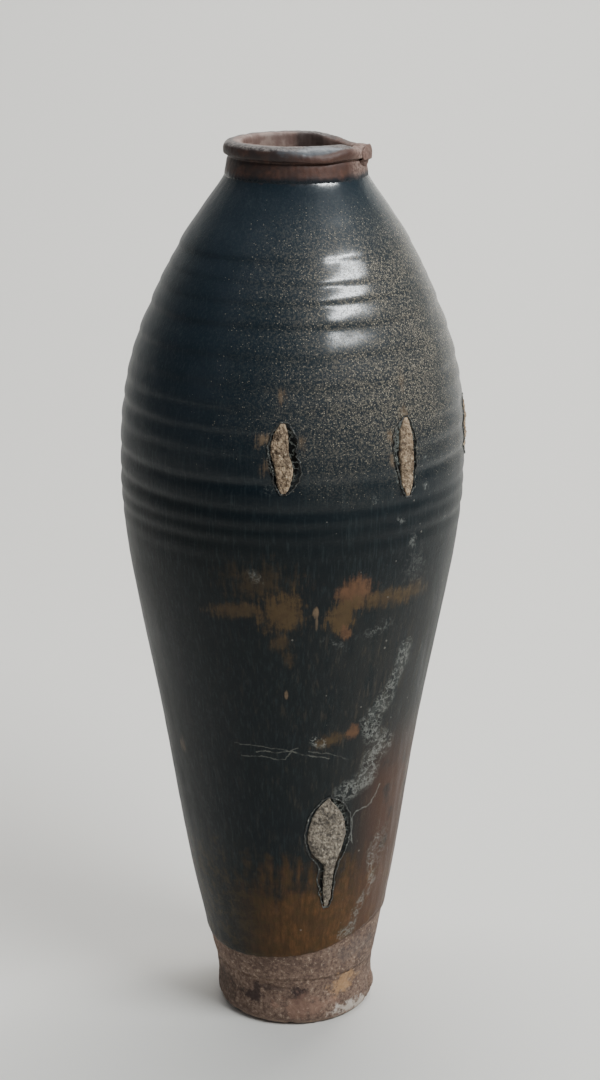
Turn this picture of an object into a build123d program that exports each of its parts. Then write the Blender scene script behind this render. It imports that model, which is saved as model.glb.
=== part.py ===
"""Tall black-glazed stoneware storage jar, thrown in sections and luted together.

Units are millimetres. The origin is the centre of the base, +Z is up, and -Y is the side
with the kiln scars. Every outline is drawn as (radius, height) and turned about the Z axis.
"""

import os
from math import cos, pi, radians, sin, sqrt

from build123d import *

# ---- driving dimensions ------------------------------------------------------------

jar_height = 560.0
coat_thick = 0.8  # black glaze on the outside
lip_glaze_thick = 0.6  # brown glaze on neck and lip
lining_thick = 0.5  # wash of glaze on the inside

# Outer face of the clay as (radius, height): foot, leg, belly, shoulder, root of the neck.
clay_outline = [
    (50.6, 7.0),
    (50.2, 22.0),
    (54.2, 45.0),
    (65.2, 100.0),
    (80.5, 200.0),
    (98.8, 300.0),
    (104.4, 345.0),
    (104.6, 375.0),
    (103.3, 400.0),
    (98.2, 430.0),
    (88.0, 460.0),
    (68.7, 500.0),
    (52.2, 525.0),
    (42.6, 538.0),
    (41.0, 545.0),
]
# Inner face of the clay, without its lining, as (radius, height).
clay_inside = [
    (41.5, 32.0),
    (45.5, 50.0),
    (55.8, 100.0),
    (71.3, 200.0),
    (90.2, 300.0),
    (96.4, 345.0),
    (96.5, 375.0),
    (95.2, 400.0),
    (90.0, 430.0),
    (79.5, 460.0),
    (59.6, 500.0),
    (42.0, 525.0),
]

ring_pitch = 15.0  # throwing rings
ring_depth = 0.45
rings_low = 325.0
rings_high = 490.0

foot_contact_radius = 46.8
foot_recess_radius = 37.0
foot_recess_depth = 2.5
floor_top = 17.0
floor_corner = 9.0

mouth_radius = 33.0
throat_height = 536.0  # where the straight bore of the mouth begins
neck_top = 549.5
lip_radius = 44.2

# Joints between thrown sections, by the height of their outer edge.
foot_joint = 32.0
leg_joint = 212.0
belly_joint = 312.0
neck_joint = 534.0
joint_slope = 0.7  # a joint face climbs this much for each millimetre inwards
slip_thick = 0.8

glaze_line = 50.0
neck_glaze_low = 540.0

reach = 140.0  # further out than any part of the jar


# ---- outlines ----------------------------------------------------------------------


def across_at(outline, height):
    """Radius at a height on the smooth curve through an outline's points."""
    heights = [z for _, z in outline]
    span = max(i for i in range(len(outline) - 1) if heights[i] <= height or i == 0)

    def slope(i):
        low, high = max(i - 1, 0), min(i + 1, len(outline) - 1)
        return (outline[high][0] - outline[low][0]) / (heights[high] - heights[low])

    length = heights[span + 1] - heights[span]
    t = (height - heights[span]) / length
    return (
        (2 * t**3 - 3 * t**2 + 1) * outline[span][0]
        + (t**3 - 2 * t**2 + t) * length * slope(span)
        + (3 * t**2 - 2 * t**3) * outline[span + 1][0]
        + (t**3 - t**2) * length * slope(span + 1)
    )


def ring_swell(height):
    """How far a throwing ring stands out at a height; the rings fade at both ends."""
    place = (height - rings_low) / (rings_high - rings_low)
    if not 0 < place < 1:
        return 0.0
    return ring_depth * sqrt(sin(pi * place)) * cos(2 * pi * (height - rings_low) / ring_pitch)


def face_points(outline, low, high, grow=0.0, swell=lambda height: 0.0):
    """Points up a face from low to high, half a ring pitch apart, moved out by grow."""
    step = ring_pitch / 2
    between = [i * step for i in range(int(low / step) + 1, int(high / step) + 1)]
    heights = [low, *(z for z in between if low + 2 < z < high - 2), high]
    points = []
    for z in heights:
        lean = (across_at(outline, z + 1) - across_at(outline, z - 1)) / 2
        radius = across_at(outline, z) + swell(z) + grow * sqrt(1 + lean**2)
        points.append((radius, z))
    return points


def joint_height(joint, radius):
    """Height of a joint face at a radius."""
    return joint + joint_slope * (across_at(clay_outline, joint) - radius)


def between_joints(low, high):
    """Corners of the region between two joint faces, each given as (joint, offset)."""
    corners = []
    for (joint, offset), radii in ((low, (0, reach)), (high, (reach, 0))):
        for radius in radii:
            corners.append((radius, joint_height(joint, radius) + offset))
    return corners


clay_low, clay_high = clay_outline[0][1], clay_outline[-1][1]
neck_radius = clay_outline[-1][0]
lip_top = jar_height - lip_glaze_thick
lip_edge_round = 1.6
lining_top = lip_top - lip_edge_round

# The clay as a filled shape, from the axis to its outer face.
with BuildSketch() as filled_clay:
    with BuildLine():
        clay_face = Spline(*face_points(clay_outline, clay_low, clay_high, swell=ring_swell))
        neck_side = Line(clay_face @ 1, (neck_radius, neck_top))
        rim_and_axis = Polyline(
            neck_side @ 1,
            (0, neck_top),
            (0, foot_recess_depth),
            (foot_recess_radius - 3, foot_recess_depth),
            (foot_recess_radius, 0),
            (foot_contact_radius, 0),
        )
        foot_bevel = ThreePointArc(
            rim_and_axis @ 1, (foot_contact_radius + 2.6, 2.4), clay_face @ 0
        )
    make_face()


def hollow(lining):
    """The space inside the jar, as a half outline, less a lining of the given thickness."""
    floor = floor_top + lining
    wall = face_points(clay_inside, clay_inside[0][1], clay_inside[-1][1], -lining)
    bore = mouth_radius + lining_thick - lining
    with BuildSketch() as space:
        with BuildLine():
            wall_curve = Spline(*wall)
            throat = Spline(
                wall_curve @ 1, (bore, throat_height), tangents=[wall_curve % 1, (0, 1)]
            )
            way_round = Polyline(
                throat @ 1,
                (bore, jar_height),
                (0, jar_height),
                (0, floor),
                (wall[0][0] - 3, floor),
                wall[0],
            )
        make_face()
        corner = space.vertices().sort_by_distance((wall[0][0] - 3, floor))[0]
        fillet(corner, floor_corner)
    return space.sketch


with BuildSketch() as clay_profile:
    add(filled_clay.sketch)
    add(hollow(0), mode=Mode.SUBTRACT)


# ---- thrown sections and the slip between them --------------------------------------

half_slip = slip_thick / 2

with BuildPart() as foot_base:
    with BuildSketch(Plane.XZ):
        add(clay_profile.sketch)
        below_joint = between_joints((foot_joint, -reach), (foot_joint, -half_slip))
        Polygon(*below_joint, align=None, mode=Mode.INTERSECT)
    revolve(axis=Axis.Z)

with BuildPart() as leg_wall:
    with BuildSketch(Plane.XZ):
        add(clay_profile.sketch)
        leg_band = between_joints((foot_joint, half_slip), (leg_joint, -half_slip))
        Polygon(*leg_band, align=None, mode=Mode.INTERSECT)
    revolve(axis=Axis.Z)

with BuildPart() as waist_wall:
    with BuildSketch(Plane.XZ):
        add(clay_profile.sketch)
        waist_band = between_joints((leg_joint, half_slip), (belly_joint, -half_slip))
        Polygon(*waist_band, align=None, mode=Mode.INTERSECT)
    revolve(axis=Axis.Z)

with BuildPart() as shoulder_wall:
    with BuildSketch(Plane.XZ):
        add(clay_profile.sketch)
        shoulder_band = between_joints((belly_joint, half_slip), (neck_joint, -half_slip))
        Polygon(*shoulder_band, align=None, mode=Mode.INTERSECT)
    revolve(axis=Axis.Z)

with BuildPart() as neck_collar:
    with BuildSketch(Plane.XZ):
        add(clay_profile.sketch)
        above_joint = between_joints((neck_joint, half_slip), (neck_joint, reach))
        Polygon(*above_joint, align=None, mode=Mode.INTERSECT)
    revolve(axis=Axis.Z)


def slip_seam(joint):
    """Ring of slip that glues one thrown section to the next."""
    with BuildPart() as seam:
        with BuildSketch(Plane.XZ):
            add(clay_profile.sketch)
            seam_band = between_joints((joint, -half_slip), (joint, half_slip))
            Polygon(*seam_band, align=None, mode=Mode.INTERSECT)
        revolve(axis=Axis.Z)
    return seam.part


slip_seams = {
    "foot_slip_seam": slip_seam(foot_joint),
    "leg_slip_seam": slip_seam(leg_joint),
    "belly_slip_seam": slip_seam(belly_joint),
    "neck_slip_seam": slip_seam(neck_joint),
}


# ---- lip: a coil of clay laid on the collar and turned over -------------------------

lip_bore = mouth_radius + lining_thick
groove_radius = neck_radius - 0.6
lip_face_height = neck_top + 5.6


def lip_outline(face_radius, crest_height, underside_height, inner_radius):
    """Half outline of the lip: its seat, the groove under it, its face and its crest."""
    with BuildSketch() as outline:
        with BuildLine():
            seat = Line((lip_bore, neck_top), (groove_radius, neck_top))
            groove = Line(seat @ 1, (groove_radius, underside_height - 1))
            underside = Line(groove @ 1, (face_radius - 1, underside_height))
            face = ThreePointArc(
                underside @ 1, (face_radius, lip_face_height), (face_radius - 2, crest_height - 0.6)
            )
            crest = Polyline(
                face @ 1, (face_radius - 4, crest_height), (lip_bore + lip_edge_round, crest_height)
            )
            inner_edge = ThreePointArc(
                crest @ 1,
                (
                    inner_radius + 0.3 * (lip_bore + lip_edge_round - inner_radius),
                    crest_height - 0.3 * (crest_height - lining_top),
                ),
                (inner_radius, lining_top),
            )
            Polyline(inner_edge @ 1, (lip_bore, lining_top), seat @ 0)
        make_face()
    return outline.sketch


clay_lip = lip_outline(lip_radius - lip_glaze_thick, lip_top, neck_top + 2.8, lip_bore)

with BuildPart() as lip_ring:
    with BuildSketch(Plane.XZ):
        add(clay_lip)
    revolve(axis=Axis.Z)


# ---- glazes ------------------------------------------------------------------------

with BuildSketch() as coat_profile:
    with BuildLine():
        coat_points = face_points(
            clay_outline, glaze_line, neck_glaze_low, coat_thick, swell=ring_swell
        )
        coat_face = Spline(*coat_points)
        Polyline(coat_face @ 1, (0, neck_glaze_low), (0, glaze_line), coat_face @ 0)
    make_face()
    add(filled_clay.sketch, mode=Mode.SUBTRACT)

with BuildPart() as black_glaze_coat:
    with BuildSketch(Plane.XZ):
        add(coat_profile.sketch)
    revolve(axis=Axis.Z)

with BuildSketch() as neck_glaze_profile:
    with BuildLine():
        collar_points = face_points(clay_outline, neck_glaze_low, clay_high, lip_glaze_thick)
        collar_face = Spline(*collar_points)
        Polyline(
            collar_face @ 1,
            (neck_radius + lip_glaze_thick, neck_top + 0.8),
            (groove_radius, neck_top + 1.4),
            (lip_bore + 1, neck_top + 1.4),
            (lip_bore + 1, neck_glaze_low),
            collar_face @ 0,
        )
    make_face()
    add(lip_outline(lip_radius, jar_height, neck_top + 2.2, mouth_radius))
    add(filled_clay.sketch, mode=Mode.SUBTRACT)
    add(clay_lip, mode=Mode.SUBTRACT)

with BuildPart() as brown_neck_glaze:
    with BuildSketch(Plane.XZ):
        add(neck_glaze_profile.sketch)
    revolve(axis=Axis.Z)

with BuildPart() as inner_glaze:
    with BuildSketch(Plane.XZ):
        add(hollow(0))
        add(hollow(lining_thick), mode=Mode.SUBTRACT)
        Rectangle(2 * reach, lining_top, align=(Align.CENTER, Align.MIN), mode=Mode.INTERSECT)
    revolve(axis=Axis.Z)


# ---- kiln scars: lumps of clay and grit left fused to the jar -----------------------

# The whole jar as one solid. It cuts the back of every lump to the face it lies on.
with BuildPart() as jar_envelope:
    with BuildSketch(Plane.XZ):
        add(filled_clay.sketch)
        add(coat_profile.sketch)
        add(clay_lip)
        add(neck_glaze_profile.sketch)
        with Locations((0, neck_top)):
            Rectangle(lip_bore + 1, jar_height - neck_top, align=(Align.MIN, Align.MIN))
    revolve(axis=Axis.Z)


def lump(angle, height, width, length, stand):
    """A low lump on the jar's face: a spheroid of which only the outer cap stands out.

    angle is in degrees round from -Y towards +X, and stand is how far the cap rises.
    """
    across = ((width / 2) ** 2 + stand**2) / (2 * stand)
    sunk = across - stand
    upright = (length / 2) / sqrt(1 - (sunk / across) ** 2)
    glaze = coat_thick if height > glaze_line else 0.0
    turn = radians(angle)
    with BuildPart() as spheroid:
        with BuildSketch(Plane.XZ):
            Ellipse(across, upright)
            Rectangle(
                across, 2 * upright, align=(Align.MAX, Align.CENTER), mode=Mode.SUBTRACT
            )
        revolve(axis=Axis.Z)
    centre = across_at(clay_outline, min(max(height, clay_low), clay_high)) + glaze - sunk
    return spheroid.part.moved(Location((centre * sin(turn), -centre * cos(turn), height)))


def scar(*lumps):
    """Lumps joined into one solid, cut back to the face of the jar."""
    with BuildPart() as joined:
        for shape in lumps:
            add(shape)
        add(jar_envelope.part, mode=Mode.SUBTRACT)
    return joined.part


scars = {
    "belly_scar_front": scar(lump(-3, 393, 12, 38, 2.4)),
    "belly_scar_right": scar(lump(39, 390, 11, 40, 2.4)),
    "belly_scar_side": scar(lump(84, 389, 12, 36, 2.6)),
    "leg_scar": scar(lump(17.5, 149, 24, 44, 3.0), lump(17.5, 114, 9, 40, 1.8)),
    "foot_lump": scar(lump(78, 17, 14, 12, 1.8)),
    "lip_lump": scar(lump(70, 548, 18, 16, 4.6)),
}


# ---- labels and files ---------------------------------------------------------------

pieces = {
    "foot_base": foot_base.part,
    "leg_wall": leg_wall.part,
    "waist_wall": waist_wall.part,
    "shoulder_wall": shoulder_wall.part,
    "neck_collar": neck_collar.part,
    "lip_ring": lip_ring.part,
    "black_glaze_coat": black_glaze_coat.part,
    "brown_neck_glaze": brown_neck_glaze.part,
    "inner_glaze": inner_glaze.part,
    **slip_seams,
    **scars,
}

os.makedirs("parts", exist_ok=True)
for name, piece in pieces.items():
    piece.label = name
    export_step(piece, f"parts/{name}.step")
    print(f"{name:20s} solids {len(piece.solids())}  volume {piece.volume / 1000:9.3f} cm3")
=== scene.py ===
"""A tall black-glazed stoneware jar, modelled and glazed around its fixed frame.

Sizes are given in millimetres, as a potter would take them off the jar, and are turned into
metres where they meet the mesh. Places on the wall are given as (angle, height): the angle
is in degrees round from the front of the jar, positive to the right.
"""

import math

import bpy
from bpy.props import FloatProperty, FloatVectorProperty, PointerProperty
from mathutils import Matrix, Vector, noise


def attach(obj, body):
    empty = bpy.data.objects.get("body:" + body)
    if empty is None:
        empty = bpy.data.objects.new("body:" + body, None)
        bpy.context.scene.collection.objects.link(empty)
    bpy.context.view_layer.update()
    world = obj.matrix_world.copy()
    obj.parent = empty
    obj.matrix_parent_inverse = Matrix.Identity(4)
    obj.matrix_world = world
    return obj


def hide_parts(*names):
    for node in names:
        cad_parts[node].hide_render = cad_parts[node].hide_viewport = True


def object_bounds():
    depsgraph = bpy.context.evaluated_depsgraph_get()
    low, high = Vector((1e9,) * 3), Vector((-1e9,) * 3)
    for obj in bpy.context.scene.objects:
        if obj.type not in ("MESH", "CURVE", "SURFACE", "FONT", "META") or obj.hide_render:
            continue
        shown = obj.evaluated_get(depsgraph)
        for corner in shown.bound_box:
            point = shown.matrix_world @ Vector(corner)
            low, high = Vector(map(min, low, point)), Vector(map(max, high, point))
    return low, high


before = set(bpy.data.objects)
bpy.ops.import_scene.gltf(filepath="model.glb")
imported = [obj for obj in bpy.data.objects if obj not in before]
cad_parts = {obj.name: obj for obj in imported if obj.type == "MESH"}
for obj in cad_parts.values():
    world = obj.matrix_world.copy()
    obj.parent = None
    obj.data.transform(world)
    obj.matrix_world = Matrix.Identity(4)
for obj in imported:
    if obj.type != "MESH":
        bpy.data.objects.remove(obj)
cad_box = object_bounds()

bl_info = {
    "name": "Black-glazed stoneware jar",
    "version": (1, 0, 0),
    "blender": (4, 5, 0),
    "location": "View3D > Sidebar > Jar",
    "description": "Throws, glazes and fires a tall stoneware jar around its frame",
    "category": "Object",
}

MM = 0.001
JAR_HEIGHT = (cad_box[1].z - cad_box[0].z) / MM

# Outer face of the clay as (radius, height).
CLAY_OUTLINE = [
    (50.6, 7.0),
    (50.2, 22.0),
    (54.2, 45.0),
    (65.2, 100.0),
    (80.5, 200.0),
    (98.8, 300.0),
    (104.4, 345.0),
    (104.6, 375.0),
    (103.3, 400.0),
    (98.2, 430.0),
    (88.0, 460.0),
    (68.7, 500.0),
    (52.2, 525.0),
    (42.6, 538.0),
    (41.0, 545.0),
]
WALL = 8.6  # thickness of the clay wall
COAT = 0.8  # thickness of the black glaze
COAT_BACK = 2.5  # how far the coat's inner face is buried in the clay
MOUTH = 33.05  # radius of the mouth inside the lip
NECK_INSIDE = 34.4  # least inner radius of the clay sections, clear of the mouth
PIT = 1.3  # depth of the pits torn in the glaze round the scars

# How far the jar's axis strays to the right, as (stray, height).
AXIS_STRAY = [(1.6, 0), (0.0, 80), (-1.2, 190), (-0.6, 300), (0.0, 370), (1.0, 450), (2.8, 560)]

# Height at which the black glaze ends above the foot, as (height, angle).
GLAZE_LINE = [
    (58.0, -180),
    (53.5, -125),
    (50.5, -78),
    (49.4, -38),
    (52.5, -7),
    (57.2, 20),
    (62.5, 37),
    (67.3, 68),
    (67.0, 110),
    (62.0, 150),
    (58.0, 180),
]
GLAZE_LINE_LOW = 50.0

# Grooves left by the potter's fingers, as (height, depth, width above, width below). Each is
# steep above and eases out below, to the crest of the next one.
FINGER_GROOVES = [
    (517.0, 0.30, 2.5, 8.0),
    (497.5, 0.75, 2.2, 7.0),
    (486.5, 0.40, 1.4, 4.5),
    (477.0, 0.55, 1.4, 5.0),
    (464.0, 1.00, 2.2, 7.5),
    (446.5, 0.75, 2.2, 7.0),
    (431.0, 0.70, 2.6, 5.5),
    (418.0, 0.60, 2.6, 5.0),
    (406.0, 0.75, 2.6, 5.0),
    (392.0, 0.60, 2.6, 4.5),
    (377.5, 0.85, 2.2, 4.0),
    (362.0, 0.90, 2.4, 4.0),
    (351.5, 0.50, 2.0, 3.4),
    (341.0, 0.70, 2.4, 4.0),
    (329.0, 0.30, 3.0, 4.0),
]

# Torn kiln scars, where the jar stuck to its neighbours. Each row gives, at a height, the
# angles of the burst glaze's left edge, the torn clay's left and right edges, and the burst
# glaze's right edge, as (height, glaze left, clay left, clay right, glaze right).
SCARS = {
    "belly_scar_front": [
        (372.5, -3.6, -3.2, -2.2, -1.6),
        (377.0, -5.4, -4.6, -0.7, 1.2),
        (387.0, -6.2, -5.4, 0.2, 2.8),
        (397.0, -7.6, -6.9, -1.2, 1.2),
        (406.0, -7.0, -6.2, -1.4, 1.2),
        (414.0, -4.2, -3.8, -2.5, -1.6),
    ],
    "belly_scar_right": [
        (364.5, 39.0, 39.4, 40.2, 40.6),
        (370.0, 37.2, 38.0, 41.4, 42.2),
        (376.0, 36.2, 37.2, 42.1, 42.9),
        (388.0, 34.4, 36.6, 42.2, 43.3),
        (399.0, 33.8, 36.7, 41.8, 43.0),
        (406.0, 35.2, 37.6, 41.2, 42.3),
        (412.0, 38.4, 38.9, 39.8, 40.3),
    ],
    "belly_scar_side": [
        (371.0, 85.0, 85.2, 85.8, 86.0),
        (379.0, 82.2, 84.2, 87.6, 88.6),
        (391.0, 81.2, 83.6, 88.4, 89.4),
        (401.0, 82.4, 84.2, 87.6, 88.6),
        (408.0, 85.2, 85.4, 86.0, 86.2),
    ],
    "leg_scar": [
        (90.5, 17.6, 18.6, 19.6, 20.2),
        (95.0, 16.2, 17.6, 20.8, 21.8),
        (102.0, 14.9, 17.0, 21.6, 22.6),
        (112.0, 13.9, 16.8, 22.0, 23.2),
        (121.0, 13.8, 17.0, 23.0, 24.2),
        (126.0, 11.6, 13.8, 24.2, 26.4),
        (132.0, 8.4, 10.0, 26.0, 28.4),
        (143.0, 6.6, 8.0, 27.8, 30.0),
        (156.0, 8.2, 9.9, 25.6, 29.4),
        (164.0, 11.6, 13.4, 21.6, 26.2),
        (168.6, 15.0, 16.8, 18.6, 21.4),
        (170.6, 17.6, 17.8, 18.2, 18.6),
    ],
}
SCAR_STAND = {
    "belly_scar_front": 2.0,
    "belly_scar_right": 1.5,
    "belly_scar_side": 1.2,
    "leg_scar": 1.9,
}

# Height of the lip's crest round the mouth, as (height, angle).
LIP_CREST = [
    (560.0, -180),
    (559.8, -140),
    (559.6, -90),
    (560.0, -45),
    (560.2, -5),
    (560.4, 25),
    (560.0, 45),
    (556.8, 66),
    (557.6, 85),
    (555.4, 115),
    (555.8, 130),
    (559.6, 160),
    (560.0, 180),
]


# ---- the shape of the thrown wall ----------------------------------------------------


def along(points, place):
    """Value at a place on the smooth curve through (value, place) points."""
    last = len(points) - 1
    if place <= points[0][1]:
        return points[0][0]
    if place >= points[last][1]:
        return points[last][0]
    span = max(i for i in range(last) if points[i][1] <= place)

    def slope(i):
        low, high = max(i - 1, 0), min(i + 1, last)
        return (points[high][0] - points[low][0]) / (points[high][1] - points[low][1])

    length = points[span + 1][1] - points[span][1]
    t = (place - points[span][1]) / length
    return (
        (2 * t**3 - 3 * t**2 + 1) * points[span][0]
        + (t**3 - 2 * t**2 + t) * length * slope(span)
        + (3 * t**2 - 2 * t**3) * points[span + 1][0]
        + (t**3 - t**2) * length * slope(span + 1)
    )


def grain(angle, height, size, stretch=1.0, seed=0.0):
    """Smooth noise from about -1 to 1 round the jar, in lumps of a size in millimetres."""
    radius = 80.0 / size
    place = (radius * math.cos(angle), radius * math.sin(angle), height / (size * stretch))
    return noise.noise(Vector(place) + Vector((seed, 2.7 * seed, 5.1 * seed)))


def clay_radius(height):
    return along(CLAY_OUTLINE, height)


def wobble(angle, height):
    """Slow unevenness of a wall thrown by hand. All layers share it."""
    settle = min(1.0, max(0.0, (height - 4.0) / 40.0))
    return settle * (0.32 * grain(angle, height, 90, seed=1.3) - 0.2)


def finger_marks(angle, height):
    """Depth of the finger grooves at a place, with the weave of a hand-held tool."""
    if not 315 < height < 524:
        return 0.0
    depth = 0.0
    for middle, deep, above, below in FINGER_GROOVES:
        if middle - 3 * below < height < middle + 3 * above + 2:
            drift = 0.9 * math.sin(angle + middle) + 0.7 * grain(angle, middle, 60, seed=middle)
            off = height - middle - drift
            off /= above if off > 0 else below
            strength = 0.8 + 0.7 * grain(angle, middle, 60, seed=middle + 9)
            depth += deep * max(0.15, strength) * math.exp(-off * off)
    return depth


def shaving_marks(angle, height):
    """Shallow upright flats below the belly, where the wall was shaved."""
    fade = min(1.0, max(0.0, (335 - height) / 40))
    return fade * 0.16 * grain(angle, height, 9, stretch=9, seed=4.0)


def glaze_radius(angle, height):
    """Outer face of the black glaze, before anything is torn from it."""
    dimples = 0.1 * grain(angle, height, 7, seed=7.0)
    return (
        clay_radius(height)
        + COAT
        + wobble(angle, height)
        - finger_marks(angle, height)
        + shaving_marks(angle, height)
        + dimples
    )


# ---- working on a mesh ---------------------------------------------------------------


def clear_bench():
    if bpy.context.object and bpy.context.object.mode != "OBJECT":
        bpy.ops.object.mode_set(mode="OBJECT")
    bpy.ops.object.select_all(action="DESELECT")


def turn_section(name, outline, columns, smooth_levels, close):
    """Turns a (radius, height) outline into a piece.

    close is "loop" where the outline comes back to its start, or "axis" where both of its
    ends reach the jar's axis.
    """
    clear_bench()
    radius, height = outline[0]
    bpy.ops.mesh.primitive_circle_add(
        vertices=columns, radius=radius * MM, location=(0, 0, height * MM)
    )
    piece = bpy.context.object
    piece.name = name
    piece.data.name = name
    bpy.ops.object.transform_apply(location=True, rotation=False, scale=False)
    bpy.ops.object.mode_set(mode="EDIT")
    bpy.ops.mesh.select_mode(type="EDGE")
    bpy.ops.mesh.select_all(action="SELECT")
    if close == "axis":
        bpy.ops.mesh.extrude_region()
        bpy.ops.mesh.merge(type="CENTER")
        bpy.ops.mesh.select_mode(type="EDGE")
        bpy.ops.mesh.select_all(action="DESELECT")
        bpy.ops.mesh.select_non_manifold()
    for next_radius, next_height in outline[1:]:
        rise = (0, 0, (next_height - height) * MM)
        bpy.ops.mesh.extrude_region_move(TRANSFORM_OT_translate={"value": rise})
        ratio = next_radius / radius
        bpy.ops.transform.resize(value=(ratio, ratio, 1), center_override=(0, 0, 0))
        radius, height = next_radius, next_height
    if close == "axis":
        bpy.ops.mesh.extrude_region()
        bpy.ops.mesh.merge(type="CENTER")
    else:
        bpy.ops.mesh.select_all(action="DESELECT")
        bpy.ops.mesh.select_non_manifold()
        bpy.ops.mesh.bridge_edge_loops()
    bpy.ops.mesh.select_mode(type="VERT")
    bpy.ops.mesh.select_all(action="SELECT")
    bpy.ops.mesh.normals_make_consistent(inside=False)
    bpy.ops.object.mode_set(mode="OBJECT")
    if smooth_levels:
        round_off(piece, smooth_levels)
    bpy.ops.object.shade_smooth()
    return piece


def round_off(piece, levels):
    """Rounds a piece with a subdivision surface."""
    bpy.context.view_layer.objects.active = piece
    rounding = piece.modifiers.new("rounding", "SUBSURF")
    rounding.levels = levels
    rounding.render_levels = levels
    bpy.ops.object.modifier_apply(modifier=rounding.name)


def move_points(piece, place):
    """Moves every point of a piece: place takes and gives millimetres."""
    count = len(piece.data.vertices)
    flat = [0.0] * (3 * count)
    piece.data.vertices.foreach_get("co", flat)
    for i in range(0, 3 * count, 3):
        moved = place(flat[i] / MM, flat[i + 1] / MM, flat[i + 2] / MM)
        flat[i], flat[i + 1], flat[i + 2] = (moved[0] * MM, moved[1] * MM, moved[2] * MM)
    piece.data.vertices.foreach_set("co", flat)
    piece.data.update()


def shape_wall(piece, reshape):
    """Moves the points of a turned piece, and then sets it on the jar's straying axis.

    reshape takes the angle in radians, the radius and the height, and gives a new radius
    and height.
    """

    def place(x, y, z):
        angle = math.atan2(x, -y)
        radius, height = reshape(angle, math.hypot(x, y), z)
        stray = along(AXIS_STRAY, height)
        return (radius * math.sin(angle) + stray, -radius * math.cos(angle), height)

    move_points(piece, place)


def lay_on_wall(piece, angle, height, wall_at):
    """Wraps a piece modelled flat (X across, Y up, Z out) on to the wall at a place."""
    middle = math.radians(angle)
    girth = wall_at(middle, height)

    def place(x, y, z):
        turn = middle + x / girth
        up = height + y
        radius = wall_at(turn, up) + z
        stray = along(AXIS_STRAY, up)
        return (radius * math.sin(turn) + stray, -radius * math.cos(turn), up)

    move_points(piece, place)


def finish_piece(piece, nodes, material):
    """Gives a piece its material and tells the frame what it stands for."""
    piece.data.materials.clear()
    piece.data.materials.append(material)
    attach(piece, "root")
    if nodes:
        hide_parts(*nodes)


# ---- building materials ----------------------------------------------------------------


def is_socket(value):
    return isinstance(value, bpy.types.NodeSocket)


def put(tree, kind, values, **settings):
    """Adds a node, with its settings, and with its inputs linked or set."""
    made = tree.nodes.new(kind)
    for key, value in settings.items():
        setattr(made, key, value)
    for key, value in values.items():
        if is_socket(value):
            tree.links.new(value, made.inputs[key])
        else:
            made.inputs[key].default_value = value
    return made


def put_after(kind, values, **settings):
    """Adds a node to the tree that its linked inputs come from."""
    tree = next(value.id_data for value in values.values() if is_socket(value))
    return put(tree, kind, values, **settings)


def link(value, socket):
    socket.id_data.links.new(value, socket)


def calc(operation, first, second=0.0, third=0.0, clamp=False):
    values = {0: first, 1: second, 2: third}
    made = put_after("ShaderNodeMath", values, operation=operation, use_clamp=clamp)
    return made.outputs[0]


def times(product, *others):
    for value in others:
        product = calc("MULTIPLY", product, value)
    return product


def minus(first, second):
    return calc("SUBTRACT", first, second)


def scale_add(value, scale, added, clamp=False):
    return calc("MULTIPLY_ADD", value, scale, added, clamp)


def ramp(value, low, high, to_low=0.0, to_high=1.0):
    """A smooth step between low and high."""
    values = {"Value": value, "From Min": low, "From Max": high}
    values.update({"To Min": to_low, "To Max": to_high})
    made = put_after("ShaderNodeMapRange", values, interpolation_type="SMOOTHSTEP", clamp=False)
    return made.outputs["Result"]


def over(under, mask, tone):
    """Lays a tone over a colour where the mask says."""
    values = {0: mask, 6: under, 7: tone}
    return put_after("ShaderNodeMix", values, data_type="RGBA").outputs[2]


def colour(red, green, blue):
    """A colour as the eye reads it, 0 to 255, turned into linear light."""

    def linear(c):
        c = c / 255
        return c / 12.92 if c <= 0.04045 else ((c + 0.055) / 1.055) ** 2.4

    return (linear(red), linear(green), linear(blue), 1.0)


def chosen(label):
    """A colour chosen in the panel."""
    return (*getattr(bpy.context.scene.jar_sizes, label), 1.0)


def new_group(name, inputs, outputs):
    """A node group from the labels of its sockets, a kind after each that is not a value.

    Gives the sockets that it is given, and those that it gives.
    """
    tree = bpy.data.node_groups.new(name, "ShaderNodeTree")
    kinds = {"": "NodeSocketFloat", "vector": "NodeSocketVector", "colour": "NodeSocketColor"}
    for way, labels in (("INPUT", inputs), ("OUTPUT", outputs)):
        for label in labels.split(", "):
            label, _, kind = label.partition(": ")
            tree.interface.new_socket(label, in_out=way, socket_type=kinds[kind])
    return tree.nodes.new("NodeGroupInput").outputs, tree.nodes.new("NodeGroupOutput").inputs


def use_group(name, *values):
    """Adds a group to a tree, with values for its inputs in their order."""
    group = bpy.data.node_groups[name]
    return put_after("ShaderNodeGroup", dict(enumerate(values)), node_tree=group).outputs


def make_wall_map():
    """Turns a position into the angle, height and radius on the wall, and into millimetres.

    Drawn is the place in millimetres squeezed upright, for textures that run down the wall.
    """
    given, gives = new_group(
        "wall_map",
        "Position: vector",
        "Angle, Height, Radius, Millimetres: vector, Drawn: vector",
    )

    def scale(vector, factors):
        values = {0: vector, 1: factors}
        return put_after("ShaderNodeVectorMath", values, operation="MULTIPLY").outputs[0]

    scaled = scale(given["Position"], (1 / MM, 1 / MM, 1 / MM))
    parts = put_after("ShaderNodeSeparateXYZ", {0: scaled}).outputs
    back = times(parts["Y"], -1.0)
    girth = times(parts["X"], parts["X"])
    radius = calc("SQRT", scale_add(back, back, girth))
    angle = times(calc("ARCTAN2", parts["X"], back), 180 / math.pi)
    drawn = scale(scaled, (1.0, 1.0, 0.07))
    for value, socket in zip((angle, parts["Z"], radius, scaled, drawn), gives):
        link(value, socket)


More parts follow.
